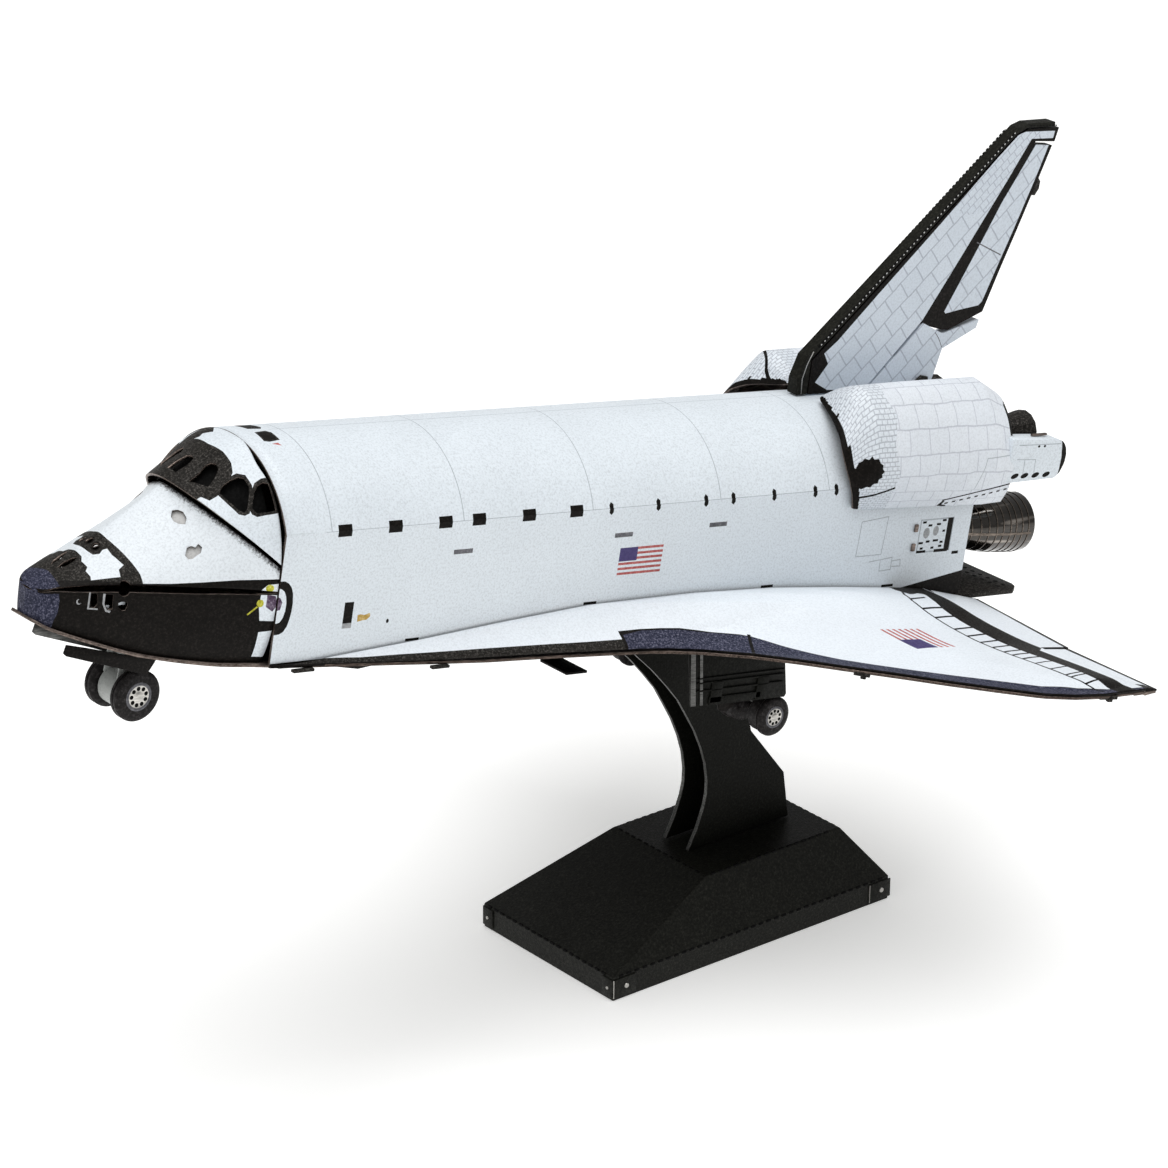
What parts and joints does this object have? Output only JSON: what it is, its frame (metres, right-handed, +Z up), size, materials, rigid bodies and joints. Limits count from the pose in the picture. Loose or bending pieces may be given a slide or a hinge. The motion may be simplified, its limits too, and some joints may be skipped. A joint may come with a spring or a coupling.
{
  "type": "space shuttle model",
  "caption": "Desk display model of a winged space shuttle orbiter, folded from thin printed sheet steel, lifted nose-up on a folded black stand.",
  "frame": {"origin": "middle of the whole model's footprint, at the table under the stand", "axes": "+Z up, nose towards -X, tail towards +X, port wing towards -Y and starboard wing towards +Y"},
  "size_m": [0.1176, 0.078, 0.0715],
  "materials": {
    "white_print": "satin printed sheet steel",
    "black_print": "satin printed sheet steel",
    "bare_steel": "bare rolled steel",
    "bronze_steel": "dark bronze ribbed steel",
    "stand_black": "satin black"
  },
  "bodies": {
    "model": {"belly_bracket": "white_print", "belly_skin": "black_print", "body_flap": "black_print", "canopy_skin": "white_print", "elevon_inner_port": "white_print", "elevon_inner_starboard": "white_print", "elevon_outer_port": "white_print", "elevon_outer_starboard": "white_print", "fin_fairing": "white_print", "fin_leading_edge": "black_print", "fin_panel": "white_print", "main_engine_port": "bronze_steel", "main_engine_starboard": "bronze_steel", "main_engine_upper": "bronze_steel", "main_gear_door_port": "black_print", "main_gear_door_starboard": "black_print", "main_gear_leg_port": "bare_steel", "main_gear_leg_starboard": "bare_steel", "nose_gear_door_port": "black_print", "nose_gear_door_starboard": "black_print", "nose_gear_leg": "bare_steel", "nose_lower_skin": "black_print", "nose_upper_skin": "white_print", "oms_pod_port": "white_print", "oms_pod_starboard": "white_print", "orbital_nozzle_port": "black_print", "orbital_nozzle_starboard": "black_print", "payload_bay_skin": "white_print", "rear_bulkhead": "black_print", "rudder": "white_print", "side_skin_port": "white_print", "side_skin_starboard": "white_print", "stand_base": "stand_black", "stand_post_plate_port": "stand_black", "stand_post_plate_starboard": "stand_black", "stand_post_web": "stand_black", "thruster_box_port": "white_print", "thruster_box_starboard": "white_print", "wing_lower_skin_port": "black_print", "wing_lower_skin_starboard": "black_print", "wing_upper_skin_port": "white_print", "wing_upper_skin_starboard": "white_print"},
    "nose_wheel_pair": {"nose_wheels": "black_print"},
    "port_wheel_pair": {"main_wheels_port": "black_print"},
    "starboard_wheel_pair": {"main_wheels_starboard": "black_print"}
  },
  "joints": [
    {"name": "nose_wheels_spin", "type": "hinge", "parent": "model", "child": "nose_wheel_pair", "pos_m": [-0.04909, 0, 0.04134], "axis": [0, 1, 0], "continuous": true},
    {"name": "port_wheels_spin", "type": "hinge", "parent": "model", "child": "port_wheel_pair", "pos_m": [0.01351, -0.01, 0.02556], "axis": [0, 1, 0], "continuous": true},
    {"name": "starboard_wheels_spin", "type": "hinge", "parent": "model", "child": "starboard_wheel_pair", "pos_m": [0.01351, 0.01, 0.02556], "axis": [0, 1, 0], "continuous": true}
  ]
}
